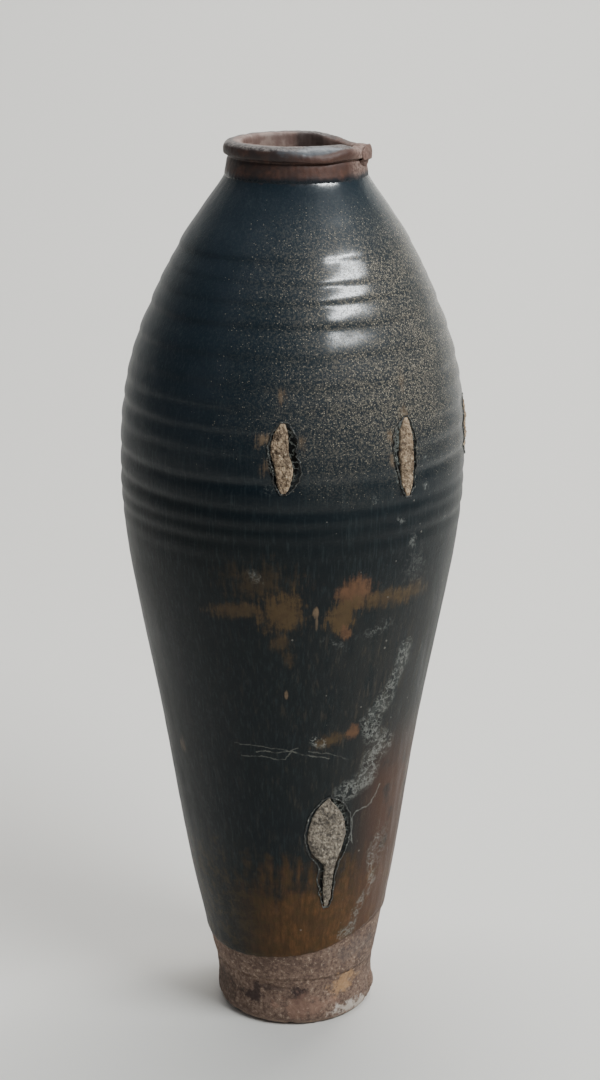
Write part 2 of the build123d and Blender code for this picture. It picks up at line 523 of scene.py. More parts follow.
def make_noise_group():
    """Even noise, from 0 to 1, in lumps of a size in millimetres."""
    given, gives = new_group("lumps", "Place: vector, Size, Detail, Roughness", "Value")
    values = {
        "Vector": given["Place"],
        "Scale": calc("DIVIDE", 1.0, given["Size"]),
        "Detail": given["Detail"],
        "Roughness": given["Roughness"],
    }
    link(put_after("ShaderNodeTexNoise", values).outputs[0], gives["Value"])


def make_kiln_mark():
    """One mark on the wall: an oval with a ragged, feathered edge."""
    given, gives = new_group(
        "kiln_mark",
        "Angle, Height, Ragged Noise, Mark Angle, Mark Height, Half Width, Half Length, Slope, "
        "Raggedness, Softness",
        "Mask",
    )
    off_angle = minus(given["Angle"], given["Mark Angle"])
    across = calc("DIVIDE", off_angle, given["Half Width"])
    level = scale_add(off_angle, given["Slope"], given["Mark Height"])
    up = calc("DIVIDE", minus(given["Height"], level), given["Half Length"])
    distance = calc("SQRT", scale_add(up, up, times(across, across)))
    fray = times(minus(given["Ragged Noise"], 0.5), 2.5)
    distance = scale_add(fray, given["Raggedness"], distance)
    link(ramp(distance, 1.0, minus(1.0, given["Softness"])), gives["Mask"])


def make_trail():
    """A line from a start along a course on the flattened wall, soft at its sides."""
    given, gives = new_group(
        "trail",
        "Across, Up, Start Across, Start Up, Course Across, Course Up, Half Width",
        "Mask",
    )
    course_across, course_up = given["Course Across"], given["Course Up"]
    off_across = minus(given["Across"], given["Start Across"])
    off_up = minus(given["Up"], given["Start Up"])
    reach = scale_add(off_up, course_up, times(off_across, course_across))
    length = scale_add(course_up, course_up, times(course_across, course_across))
    part = calc("MAXIMUM", calc("MINIMUM", calc("DIVIDE", reach, length), 1.0), 0.0)
    back = times(part, -1.0)
    off_across = scale_add(course_across, back, off_across)
    off_up = scale_add(course_up, back, off_up)
    distance = calc("SQRT", scale_add(off_up, off_up, times(off_across, off_across)))
    link(ramp(calc("DIVIDE", distance, given["Half Width"]), 1.0, 0.35), gives["Mask"])


def make_specks():
    """Small dots scattered at random, one in the middle of each Voronoi cell that is kept."""
    given, gives = new_group("specks", "Place: vector, Spacing, Dot, Cover", "Mask")
    values = {"Vector": given["Place"], "Scale": calc("DIVIDE", 1.0, given["Spacing"])}
    cells = put_after("ShaderNodeTexVoronoi", values)
    parts = put_after("ShaderNodeSeparateColor", {0: cells.outputs["Color"]}).outputs
    size = scale_add(parts[1], given["Dot"], 0.05)
    dot = calc("LESS_THAN", cells.outputs["Distance"], size)
    kept = calc("LESS_THAN", parts[0], given["Cover"])
    link(times(dot, kept), gives["Mask"])


def make_sandy_clay():
    """Colour and height of torn or unglazed sandy clay."""
    given, gives = new_group(
        "sandy_clay",
        "Place: vector, Clay: colour, Dark: colour, Pale: colour, Grit Size",
        "Colour: colour, Height",
    )
    grit = lumps(given["Place"], given["Grit Size"], 4.0, 0.7)
    cloudy = lumps(given["Place"], 14.0, 3.0, 0.6)
    pits = ramp(grit, 0.52, 0.40)
    grains = ramp(grit, 0.56, 0.66)
    stains = times(ramp(cloudy, 0.42, 0.66), 0.6)
    tint = over(given["Clay"], stains, given["Dark"])
    tint = over(tint, times(pits, 0.75), given["Dark"])
    tint = over(tint, times(grains, 0.7), given["Pale"])
    link(tint, gives["Colour"])
    link(grit, gives["Height"])


def new_material(name):
    """A material, the inputs of its shader, and the wall map of the piece's coordinates."""
    material = bpy.data.materials.new(name)
    material.use_nodes = True
    tree = material.node_tree
    tree.nodes.clear()
    shader = tree.nodes.new("ShaderNodeBsdfPrincipled")
    output = tree.nodes.new("ShaderNodeOutputMaterial")
    link(shader.outputs[0], output.inputs[0])
    place = put(tree, "ShaderNodeTexCoord", {}).outputs["Object"]
    return material, shader.inputs, use_group("wall_map", place)


def lumps(place, size, detail=3.0, roughness=0.5):
    return use_group("lumps", place, size, detail, roughness)[0]


def specks(place, spacing, dot, cover):
    return use_group("specks", place, spacing, dot, cover)[0]


def mark(wall, ragged, where, size, slope=0.0, raggedness=1.0, softness=0.35):
    """Mask of a kiln mark: where is its (angle, height), size half its width and length."""
    shape = (*where, *size, slope, raggedness, softness)
    return use_group("kiln_mark", wall["Angle"], wall["Height"], ragged, *shape)[0]


def trail(flat, start, end, width):
    """Mask of a line between two (angle, height) places on the flattened wall."""
    course = ((end[0] - start[0]) * ARC, end[1] - start[1])
    return use_group("trail", *flat, start[0] * ARC, start[1], *course, width)[0]


def add_bump(shader, layers):
    """Adds up relief layers, each (height, depth in millimetres), into the shader's normal."""
    relief = 0.0
    for height, depth in layers:
        relief = scale_add(height, depth, relief)
    made = put_after("ShaderNodeBump", {"Height": relief, "Distance": MM})
    link(made.outputs["Normal"], shader["Normal"])


# Brown blushes, where the glaze ran thin: where, half size, slope, raggedness, softness,
# colour and strength.
BLUSHES = [
    ((-19, 299), (14, 7), 0.22, 0.9, 0.7, "ochre", 0.75),
    ((-3.5, 299), (10.5, 17), 0.0, 1.1, 0.7, "ochre", 1.0),
    ((-10, 318), (17, 17), 0.0, 1.6, 1.0, "ochre", 0.45),
    ((-4, 280), (5, 9), 0.0, 1.3, 0.9, "ochre", 0.6),
    ((21.5, 310), (8.5, 13), 0.0, 0.9, 0.6, "rust", 1.0),
    ((33, 303), (20, 8), -0.1, 1.3, 0.8, "ochre", 0.8),
    ((46, 303), (10, 9), -0.1, 1.3, 0.8, "ochre", 0.6),
    ((17.5, 294), (6.5, 14), 0.0, 1.1, 0.5, "ochre", 1.0),
    ((19, 284), (2.5, 6), 0.0, 1.2, 0.5, "rust", 0.9),
    ((-1.5, 268), (3.4, 7), 0.0, 1.7, 0.9, "ochre", 0.5),
    ((16, 211), (10, 6), 0.3, 1.3, 0.7, "ochre", 0.8),
    ((26, 215), (3.6, 6.5), 0.0, 0.9, 0.5, "rust", 0.9),
    ((8.0, 299), (1.2, 4.5), 0.0, 0.5, 0.5, "tan", 0.75),
    ((8.4, 292), (0.6, 6.0), 0.0, 0.4, 0.6, "tan", 0.6),
    ((-2.2, 244), (0.9, 3.8), 0.0, 0.6, 0.5, "tan", 0.7),
    ((-3.2, 429), (2.0, 6.5), 0.0, 1.9, 0.9, "tan", 0.7),
    ((39.5, 433), (2.2, 8.0), 0.0, 1.9, 0.9, "tan", 0.5),
    ((39.0, 414), (2.8, 5.5), 0.0, 1.7, 0.9, "tan", 0.8),
    ((-9.2, 403), (2.8, 5.5), 0.2, 1.9, 0.9, "tan", 0.75),
    ((-9.0, 388), (2.2, 7.0), 0.0, 1.9, 0.9, "tan", 0.65),
    ((2.8, 401), (1.9, 6.0), 0.0, 1.9, 0.9, "tan", 0.7),
    ((33.2, 402), (2.4, 6.0), 0.2, 1.9, 0.9, "tan", 0.75),
    ((33.2, 388), (1.8, 6.0), 0.0, 1.9, 0.9, "tan", 0.6),
    ((-57, 193), (3, 9), 0.0, 1.5, 0.9, "tan", 0.3),
    ((122, 306), (22, 8), 0.15, 1.4, 0.8, "ochre", 0.7),
    ((165, 285), (9, 14), 0.0, 1.4, 0.7, "ochre", 0.7),
    ((-118, 300), (17, 7), -0.1, 1.4, 0.8, "ochre", 0.7),
    ((-150, 230), (7, 9), 0.0, 1.5, 0.8, "rust", 0.6),
]

# White crust of lime away from the trails, as (where, half size, slope, raggedness,
# strength).
CRUSTS = [
    ((53, 122), (9, 22), 0.0, 1.9, 0.5),
    ((48, 368), (2.0, 4), 0.0, 1.2, 1.0),
    ((47.7, 385), (1.6, 3.5), 0.0, 1.2, 0.9),
    ((37, 351), (2.8, 3), 0.0, 1.0, 1.0),
    ((27, 366), (1.6, 3), -0.5, 1.2, 0.8),
    ((43, 336), (2.6, 6), 0.0, 1.6, 0.8),
    ((46, 318), (7, 16), 0.0, 2.1, 0.35),
    ((32, 283), (8, 6), 0.5, 1.9, 0.5),
    ((16, 277), (6, 4), -0.6, 2.0, 0.4),
    ((-12, 322), (3.5, 5), -0.8, 1.5, 0.6),
    ((-7, 375), (3.0, 4), 0.0, 1.5, 0.4),
    ((160, 200), (14, 30), 0.8, 2.0, 0.7),
    ((-140, 340), (10, 16), 0.3, 2.0, 0.5),
]

# Trails on the lower wall: each a path of (angle, height), its half width and its strength.
ARC = 1.35  # millimetres to a degree, round the lower wall
TRAILS = {
    "crust": [
        ([(47.7, 265), (47, 255), (44, 244), (41, 233)], 7.0, 0.8),
        ([(41, 233), (34.5, 220), (36.5, 210), (45, 200)], 9.0, 0.9),
        ([(45, 200), (38.5, 194), (37.3, 180), (25, 172)], 10.0, 0.9),
        ([(48.8, 131), (45, 123), (49.5, 100)], 5.5, 0.9),
        ([(50.5, 99), (40, 82), (38, 68), (31, 66)], 6.0, 0.8),
        ([(9.7, 212), (12.3, 209)], 4.0, 1.0),
        ([(150, 250), (158, 200), (149, 160)], 6.0, 0.9),
    ],
    "vein": [
        ([(46, 171), (41, 159.5), (32.7, 157), (30, 153), (31.3, 134)], 0.7, 0.8),
        ([(23, 173), (26.4, 156)], 0.6, 0.7),
        ([(66, 72), (46.6, 66.7)], 0.6, 0.6),
        ([(62.3, 118), (63.7, 103)], 0.6, 0.7),
    ],
    "scratch": [
        ([(-25, 208), (-15, 207), (-5, 207), (-1, 204.6), (2.3, 206.7)], 0.55, 0.8),
        ([(-22, 199.7), (-13, 200.8), (-3, 199), (0, 204.6)], 0.55, 0.8),
        ([(-15, 204), (0, 204.6), (6, 201.6), (16, 198.2)], 0.6, 1.0),
        ([(7, 204.3), (16, 201.7), (25, 195.6)], 0.5, 0.7),
    ],
}


def make_black_glaze():
    """Black iron glaze: teal where thick and lightened on the shoulder by painted reflection, brown
    where thin, dusted with ash to the right.
    """
    material, shader, wall = new_material("black_iron_glaze")
    angle, height = wall["Angle"], wall["Height"]
    place, drawn = wall["Millimetres"], wall["Drawn"]

    fur = lumps(drawn, 1.3, 4.0, 0.6)
    wide_fur = lumps(drawn, 5.0, 3.0, 0.55)
    cloud = lumps(place, 55.0, 3.0, 0.5)
    patch = lumps(place, 16.0, 4.0, 0.6)
    fray = lumps(place, 5.0, 5.0, 0.65)
    drawn_fray = lumps(drawn, 2.2, 4.0, 0.65)
    ragged = calc("ADD", times(drawn_fray, 0.6), times(fray, 0.4))

    # Painted reflection: the glaze is lighter and bluer above the belly, partly its own teal and
    # partly reflection painted where the shoulder faces the light; darker below the belly.
    upper = over(chosen("glaze_tone"), ramp(cloud, 0.4, 0.62), colour(26, 37, 45))
    lower = over(colour(4, 14, 19), ramp(cloud, 0.4, 0.62), colour(8, 17, 20))
    glaze = over(lower, ramp(height, 330.0, 440.0), upper)
    glaze = over(glaze, times(ramp(fur, 0.48, 0.72), 0.35), colour(46, 56, 58))

    # Whatever lies to the right fades out again before it meets the left side at the back.
    behind = ramp(angle, 176.0, 105.0)
    behind_low = ramp(angle, 178.0, 115.0, 0.25, 1.0)

    # Below the belly the glaze is thinner, and greyer and browner towards the right.
    rightness = times(ramp(angle, -12.0, 50.0), behind)
    lowness = ramp(height, 345.0, 255.0)
    thin_right = times(rightness, lowness, ramp(wide_fur, 0.25, 0.6))
    glaze = over(glaze, times(thin_right, 0.8), colour(40, 40, 38))
    streaky = times(ramp(drawn_fray, 0.54, 0.70), lowness)
    streaky = times(streaky, ramp(angle, -40.0, 30.0, 0.12, 0.5), behind_low)
    glaze = over(glaze, streaky, colour(64, 58, 48))

    # The foot end turns olive and brown, in tongues that reach up.
    tongue = scale_add(wide_fur, 70.0, height)
    tongue = scale_add(patch, 50.0, tongue)
    foot_brown = times(ramp(tongue, 192.0, 148.0), ramp(angle, -55.0, -15.0, 0.25, 1.0))
    foot_brown = times(foot_brown, behind_low)
    brown = over(colour(66, 46, 22), ramp(drawn_fray, 0.3, 0.7), colour(98, 66, 38))
    brown = over(brown, times(ramp(patch, 0.42, 0.62), 0.5), colour(56, 40, 24))
    # Painted shade: the brown darkens towards the left, the side away from the lamp.
    brown = over(brown, ramp(angle, 0.0, -45.0), colour(28, 22, 12))
    glaze = over(glaze, times(foot_brown, 0.95), brown)
    olive = times(ramp(tongue, 200.0, 165.0), ramp(fray, 0.45, 0.6))
    glaze = over(glaze, times(olive, 0.5), colour(60, 48, 24))
    side = times(ramp(angle, 26.0, 52.0), ramp(height, 225.0, 160.0))
    side = times(side, ramp(patch, 0.25, 0.5), behind)
    glaze = over(glaze, times(side, 0.8), colour(74, 48, 34))

    tones = {"ochre": colour(76, 60, 38), "rust": colour(96, 68, 48), "tan": colour(122, 102, 80)}
    for where, size, slope, raggedness, softness, tone, strength in BLUSHES:
        blush = mark(wall, ragged, where, size, slope, raggedness, softness)
        tone = over(tones[tone], ramp(fray, 0.35, 0.7, 0.0, 0.5), colour(54, 40, 26))
        glaze = over(glaze, times(blush, strength), tone)

    # Ash that fell on the right shoulder: fine dots, thick to the right.
    ash_zone = times(
        ramp(angle, -40.0, 50.0),
        behind,
        ramp(height, 540.0, 492.0),
        ramp(scale_add(cloud, 60.0, height), 395.0, 455.0),
        ramp(cloud, 0.3, 0.6, 0.6, 1.0),
    )
    dust = times(ramp(lumps(place, 1.3, 3.0, 0.9), 0.50, 0.57), ash_zone)
    dots = specks(place, 0.9, 0.34, ash_zone)
    glaze = over(glaze, times(ash_zone, 0.30), colour(54, 52, 48))
    glaze = over(glaze, times(dust, 0.8), colour(124, 116, 102))
    glaze = over(glaze, times(dots, scale_add(ash_zone, 0.6, 0.3)), colour(172, 162, 142))

    # Lime crust: crumbs joined by veins, along the ways that water ran.
    sway = scale_add(fray, 9.0, -4.5)
    sway_up = scale_add(lumps(place, 5.5, 3.0, 0.6), 9.0, -4.5)

    def swayed(amount):
        across = scale_add(angle, ARC, times(sway, amount))
        return across, scale_add(sway_up, amount, height)

    def trails(kind, where):
        cover = None
        for points, width, strength in TRAILS[kind]:
            for start, end in zip(points, points[1:]):
                line = times(trail(where, start, end, width), strength)
                cover = line if cover is None else calc("MAXIMUM", cover, line)
        return cover

    crust = trails("crust", swayed(0.5))
    for where, size, slope, raggedness, strength in CRUSTS:
        spot = times(mark(wall, fray, where, size, slope, raggedness, 0.9), strength)
        crust = calc("MAXIMUM", crust, spot)
    ridge = calc("ABSOLUTE", minus(lumps(place, 6.0, 4.0, 0.6), 0.5))
    webs = ramp(ridge, 0.05, 0.012)
    crumbs = ramp(lumps(place, 2.4, 5.0, 0.75), 0.53, 0.62)
    film = ramp(patch, 0.40, 0.60, 0.0, 0.22)
    crumbled = calc("MAXIMUM", film, calc("MAXIMUM", times(webs, 0.8), crumbs))
    crust = times(crust, crumbled, ramp(fray, 0.34, 0.52, 0.15, 1.0))
    veins = times(trails("vein", swayed(0.6)), ramp(fray, 0.34, 0.54, 0.2, 0.8))
    crust = calc("MAXIMUM", crust, veins)
    glaze = over(glaze, times(crust, 0.68), colour(146, 147, 141))
    flecks = specks(place, 5.0, 0.10, times(rightness, ramp(height, 440.0, 380.0), 0.3))
    glaze = over(glaze, times(flecks, 0.4), colour(140, 136, 128))
    scratched = trails("scratch", swayed(0.45))
    scratched = times(scratched, ramp(fray, 0.36, 0.54, 0.15, 1.0))
    glaze = over(glaze, times(scratched, 0.5), colour(118, 118, 110))

    # Painted shade: the pits torn in the glaze round the scars are painted near black, with pale
    # cracks.
    pit_shade = None
    for name, rows in SCARS.items():
        level = scar_middle(name)[1]
        left, right = scar_edge(name, 1, level), scar_edge(name, 4, level)
        middle = (left + right) / 2
        size = ((right - left) / 2 + 0.6, (rows[-1][0] - rows[0][0]) / 2 + 0.5)
        spots = [((middle, level), size, 0.3, 0.2)]
        if name == "leg_scar":
            tail = ((18.6, 107.0), (4.2, 18.5), 0.5, 0.25)
            spots = [tail, ((middle, 146.0), (10.9, 25.5), 0.3, 0.2)]
        for where, size, raggedness, softness in spots:
            spot = mark(wall, fray, where, size, 0.0, raggedness, softness)
            pit_shade = spot if pit_shade is None else calc("MAXIMUM", pit_shade, spot)
    # Near-black painted shade in the scar pits, crossed by pale cracks.
    pit_shade_tone = over(colour(12, 12, 12), ramp(ridge, 0.04, 0.0, 0.0, 0.6), colour(130, 134, 128))
    glaze = over(glaze, pit_shade, pit_shade_tone)

    # Under the neck it thins to the brown of the neck, in drips.
    neck_edge = scale_add(lumps(place, 3.0, 3.0, 0.6), 7.0, height)
    glaze = over(glaze, ramp(neck_edge, 542.0, 546.5), colour(58, 44, 38))
    link(glaze, shader["Base Color"])

    rough = scale_add(cloud, 0.2, 0.34)
    rough = scale_add(dust, 0.2, rough)
    rough = scale_add(thin_right, 0.15, rough)
    rough = scale_add(pit_shade, 0.4, rough)
    rough = scale_add(crust, 0.5, rough, clamp=True)
    link(rough, shader["Roughness"])
    shader["Specular IOR Level"].default_value = 0.15

    # The coat is glossiest on the shoulder, and broken up by pits and ash.
    gloss = ramp(height, 330.0, 470.0, 0.10, 1.0)
    gloss = times(gloss, ramp(angle, -75.0, -25.0, 0.25, 1.0), behind_low)
    pitted = ramp(lumps(place, 1.2, 3.0, 0.8), 0.40, 0.56, 0.35, 1.0)
    gloss = times(gloss, pitted, scale_add(ash_zone, -0.3, 1.0))
    gloss = times(gloss, scale_add(dots, -0.7, 1.0))
    gloss = times(gloss, minus(1.0, calc("MAXIMUM", pit_shade, crust)))
    link(gloss, shader["Coat Weight"])
    shader["Coat Roughness"].default_value = 0.18

    peel = lumps(place, 1.4, 3.0, 0.7)
    add_bump(
        shader,
        [
            (peel, 0.13),
            (lumps(drawn, 2.5, 3.0, 0.5), 0.06),
            (calc("ADD", dots, dust), 0.08),
            (crumbs, 0.03),
        ],
    )
    return material


def make_brown_glaze():
    """Thin rust-brown glaze on neck and lip, worn to the body at the right."""
    material, shader, wall = new_material("rust_brown_glaze")
    angle, height, place = wall["Angle"], wall["Height"], wall["Millimetres"]
    patch = lumps(place, 9.0, 4.0, 0.6)
    fine = lumps(place, 1.6, 4.0, 0.7)

    # Two browns, redder at the front, and brick red in places.
    glaze = over(chosen("neck_tone"), ramp(patch, 0.38, 0.6), colour(68, 50, 43))
    redder = times(ramp(angle, -15.0, 20.0), ramp(angle, 70.0, 45.0))
    glaze = over(glaze, times(redder, 0.5), colour(82, 52, 40))
    brick = times(ramp(patch, 0.52, 0.62), ramp(fine, 0.4, 0.55))
    glaze = over(glaze, times(brick, 0.35), colour(98, 66, 56))

    # Worn to the body at the right, and grey on the crest of the lip.
    worn = times(ramp(angle, 46.0, 62.0), ramp(angle, 130.0, 100.0))
    worn_tone = over(colour(98, 78, 70), ramp(fine, 0.4, 0.6), colour(142, 120, 110))
    glaze = over(glaze, times(worn, 0.85), worn_tone)
    crest = ramp(scale_add(patch, 3.0, height), 558.8, 560.2)
    grey = over(colour(50, 48, 48), ramp(fine, 0.42, 0.6), colour(112, 106, 102))
    glaze = over(glaze, times(crest, 0.85), grey)

    # A glossy facet where the lip was pushed down; its blue-grey colour is a painted reflection.
    pressed_sheen = mark(wall, patch, (20.0, 557.2), (30.0, 3.6), 0.0, 0.5, 0.4)
    pressed_sheen = times(pressed_sheen, ramp(wall["Radius"], 44.2, 42.8))
    # Painted reflection: blue-grey laid over the glossy facet.
    glaze = over(glaze, times(pressed_sheen, 0.85), colour(82, 88, 92))

    # Pinkish and bare inside the mouth, in shade at the back to the right.
    inside = ramp(wall["Radius"], 36.0, 34.0)
    pink = over(colour(112, 90, 82), ramp(patch, 0.4, 0.62), colour(140, 120, 110))
    shaded = times(ramp(angle, 138.0, 150.0), ramp(angle, 180.0, 172.0))
    inner_tone = over(pink, times(shaded, 0.85), colour(52, 44, 42))
    glaze = over(glaze, times(inside, 0.9), inner_tone)

    # At the foot of the neck it runs into the black glaze.
    sunk = ramp(scale_add(patch, 5.0, height), 547.0, 542.6)
    glaze = over(glaze, times(sunk, 0.95), colour(30, 36, 40))
    link(glaze, shader["Base Color"])

    rough = scale_add(fine, 0.3, 0.36)
    rough = scale_add(worn, 0.3, rough)
    rough = scale_add(sunk, -0.24, rough)
    rough = scale_add(pressed_sheen, -0.2, rough, clamp=True)
    link(rough, shader["Roughness"])
    shader["Specular IOR Level"].default_value = 0.3
    add_bump(shader, [(patch, 0.3), (fine, 0.12)])
    return material


def make_clay(name, clay, dark, pale, grit_size, depth, roughness=0.85):
    """Bare sandy clay in three tones."""
    material, shader, wall = new_material(name)
    tones = (colour(*clay), colour(*dark), colour(*pale))
    tint, relief = list(use_group("sandy_clay", wall["Millimetres"], *tones, grit_size))[:2]
    link(tint, shader["Base Color"])
    shader["Roughness"].default_value = roughness
    add_bump(shader, [(relief, depth)])
    return material


def make_foot_clay():
    """Unglazed foot: grey-brown, sandy, stained dark at the front, with painted shade on the left
    and painted shadow in the crease, and buff at the right.
    """
    material, shader, wall = new_material("unglazed_foot_clay")
    tones = (chosen("foot_tone"), colour(76, 58, 50), colour(170, 150, 130))
    tint, relief = list(use_group("sandy_clay", wall["Millimetres"], *tones, 2.2))[:2]
    fray = lumps(wall["Millimetres"], 6.0, 4.0, 0.65)
    # Stains, with painted shade and shadow among them, as (where, half size, raggedness, strength,
    # tone).
    for where, size, raggedness, strength, tone in (
        # Painted shade over the left of the foot, the side away from the lamp.
        ((-66, 16), (30, 18), 1.4, 0.55, (44, 34, 28)),
        ((-30, 20), (9, 8), 1.6, 0.85, (46, 32, 30)),
        ((3, 23), (9, 6), 1.6, 0.85, (46, 32, 32)),
        # Painted shadow along the crease.
        ((-14, 27), (18, 3), 1.4, 0.5, (60, 46, 42)),
        ((40, 26), (14, 9), 1.4, 0.7, (176, 138, 98)),
        ((10, 14), (30, 9), 1.6, 0.45, (150, 116, 98)),
        ((46, 7), (20, 6), 1.6, 0.85, (196, 186, 174)),
        ((48, 50), (30, 9), 1.8, 0.35, (84, 78, 76)),
    ):
        stain_and_shade = mark(wall, fray, where, size, 0.0, raggedness, 0.7)
        tint = over(tint, times(stain_and_shade, strength), colour(*tone))
    worn_edge = scale_add(fray, 5.0, wall["Height"])
    tint = over(tint, ramp(worn_edge, 8.0, 4.0, 0.0, 0.5), colour(158, 136, 120))
    link(tint, shader["Base Color"])
    shader["Roughness"].default_value = 0.88
    add_bump(shader, [(fray, 0.4), (relief, 0.45)])
    return material


def make_lining_glaze():
    """Thin brown wash inside, with drips."""
    material, shader, wall = new_material("brown_lining_glaze")
    runs = lumps(wall["Drawn"], 6.0, 3.0, 0.6)
    tint = over(colour(50, 34, 28), ramp(runs, 0.35, 0.65), colour(86, 58, 44))
    link(tint, shader["Base Color"])
    rough = scale_add(runs, 0.3, 0.25)
    link(rough, shader["Roughness"])
    add_bump(shader, [(runs, 0.2)])
    return material


# Sandy clays by their place in MATERIALS: each material's name, its clay, dark and pale
# tones, the size of its grit, the depth of its relief and its roughness.
CLAYS = {
    "body_clay": ("stoneware_body", (112, 92, 76), (80, 64, 52), (150, 132, 112), 1.6, 0.3),
    "joining_slip": ("joining_slip", (96, 76, 66), (62, 48, 42), (130, 108, 92), 1.8, 0.4),
    "scar_clay": ("torn_scar_clay", (164, 142, 116), (58, 44, 34), (206, 188, 158), 2.0, 0.9),
    "leg_scar_clay": ("gritty_ash_clay", (136, 126, 112), (50, 45, 42), (188, 178, 158), 2.2, 1.0),
    "burst_glaze": ("burst_glaze", (52, 54, 52), (16, 16, 16), (168, 170, 160), 1.6, 0.2, 0.4),
    "lip_lump_glaze": ("worn_lip_clay", (118, 92, 82), (84, 64, 56), (150, 128, 116), 2.0, 0.3),
}
MATERIALS = {}


def mix_materials():
    make_wall_map()
    make_noise_group()
    make_kiln_mark()
    make_trail()
    make_specks()
    make_sandy_clay()
    MATERIALS["black_glaze"] = make_black_glaze()
    MATERIALS["brown_glaze"] = make_brown_glaze()
    MATERIALS["foot_clay"] = make_foot_clay()
    MATERIALS["lining_glaze"] = make_lining_glaze()
    for label, recipe in CLAYS.items():
        MATERIALS[label] = make_clay(*recipe)


# ---- the pieces -----------------------------------------------------------------------


def joint_height(joint, radius):
    """Height of a mitred joint face, which climbs inwards."""
    return joint + 0.7 * (clay_radius(joint) - radius)


def wall_section(name, low, high, inset, columns=64, gap=0.4):
    """Closed outline of one thrown section between two joints."""
    rows = max(3, int((high - low) / 14))
    heights = [low + gap + (high - low - 2 * gap) * i / rows for i in range(rows + 1)]
    heights.insert(1, heights[0] + 0.8)
    heights.insert(-1, heights[-1] - 0.8)
    outline = [(clay_radius(height) - inset, height) for height in heights]
    inner = []
    for height in heights:
        climb = 0.7 * (WALL - inset / 2)
        inner.append((max(NECK_INSIDE, clay_radius(height + climb) - WALL), height + climb))
    return turn_section(name, outline + inner[::-1], columns, 1, "loop")


class JarSizes(bpy.types.PropertyGroup):
    """Sizes and colours that a potter would change."""

    glaze_bead: FloatProperty(
        name="Glaze bead", description="How far the glaze's lower edge stands proud, in mm",
        default=0.45, min=0.0, max=2.0,
    )
    lip_turn: FloatProperty(
        name="Lip turn", description="Radius of the lip's outer face, in mm",
        default=43.7, min=42.0, max=44.2,
    )
    lens: FloatProperty(
        name="Lens", description="Focal length of the camera, in mm", default=73.8, min=20, max=200
    )
    glaze_tone: FloatVectorProperty(
        name="Glaze", description="Colour of the black glaze where it is thick",
        subtype="COLOR", min=0.0, max=1.0, default=colour(17, 31, 39)[:3],
    )
    neck_tone: FloatVectorProperty(
        name="Neck glaze", description="Colour of the brown glaze on the neck and the lip",
        subtype="COLOR", min=0.0, max=1.0, default=colour(54, 44, 42)[:3],
    )
    foot_tone: FloatVectorProperty(
        name="Foot clay", description="Colour of the bare clay of the foot",
        subtype="COLOR", min=0.0, max=1.0, default=colour(122, 100, 86)[:3],
    )


class JAR_OT_throw_foot(bpy.types.Operator):
    """Throws the thick unglazed foot, with its crease, chips and recessed base"""

    bl_idname = "jar.throw_foot"
    bl_label = "Throw the foot"

    def execute(self, context):
        outline = [
            (12.0, 2.5), (24.0, 2.5), (33.5, 2.4), (36.2, 0.9), (37.6, 0.0), (41.0, 0.0),
            (44.6, 0.0), (46.4, 0.3), (48.2, 1.4), (49.8, 3.4), (50.6, 6.5), (50.7, 10.0),
            (50.5, 14.0), (50.2, 18.0), (50.2, 22.0), (50.6, 26.0), (51.2, 29.8),
            (51.5, 31.2), (51.3, 31.8), (49.0, 33.4), (46.0, 35.0), (43.0, 37.0), (42.0, 37.4),
            (41.0, 34.0), (40.0, 28.0), (39.0, 22.0), (34.0, 17.6), (24.0, 17.0), (12.0, 17.0),
        ]
        piece = turn_section("turned_foot", outline, 80, 2, "axis")

        def reshape(angle, radius, height):
            if radius > 44 and height < 31.5:
                edge = min(1.0, height / 5.0)
                radius += wobble(angle, height)
                radius += edge * 0.55 * grain(angle, height, 16, seed=11)
                radius += edge * 0.30 * grain(angle, height, 4, seed=12)
                off = math.degrees(angle) + 14  # from the middle of the crease
                crease = 28.0 - 0.13 * off + 0.8 * grain(angle, 0, 9, seed=14)
                reach = max(0.0, 1 - (off / 22) ** 2)
                radius -= 0.9 * reach * math.exp(-(((height - crease) / 1.1) ** 2))
                chip = grain(angle, height * 2.0, 9, seed=13)
                if height < 7 and chip > 0.2:
                    radius -= 2.2 * (chip - 0.2) * (1 - height / 7)
                    height += 1.5 * (chip - 0.2)
            return radius, height

        shape_wall(piece, reshape)
        finish_piece(piece, ["foot_base"], MATERIALS["foot_clay"])
        return {"FINISHED"}


class JAR_OT_throw_wall(bpy.types.Operator):
    """Throws the leg, waist, shoulder and neck sections of the clay wall"""

    bl_idname = "jar.throw_wall"
    bl_label = "Throw the wall sections"

    def execute(self, context):
        leg = wall_section("thrown_leg", 32, 212, 0.0, columns=160)

        def rough_band(angle, radius, height):
            face = clay_radius(height)
            if radius > face - 3.0:
                if height > 75:
                    return radius - 1.6 + wobble(angle, height), height
                radius += wobble(angle, height)
                radius += 0.35 * grain(angle, height, 14, seed=11)
                radius += 0.30 * grain(angle, height, 4, seed=12)
            else:
                radius += wobble(angle, height)
            return radius, height

        shape_wall(leg, rough_band)
        finish_piece(leg, ["leg_wall"], MATERIALS["foot_clay"])

        def follow(angle, radius, height):
            return radius + wobble(angle, height), height

        for name, low, high, node in (
            ("thrown_waist", 212, 312, "waist_wall"),
            ("thrown_shoulder", 312, 534, "shoulder_wall"),
            ("thrown_neck", 534, 549, "neck_collar"),
        ):
            section = wall_section(name, low, high, 1.8)
            shape_wall(section, follow)
            finish_piece(section, [node], MATERIALS["body_clay"])
        return {"FINISHED"}


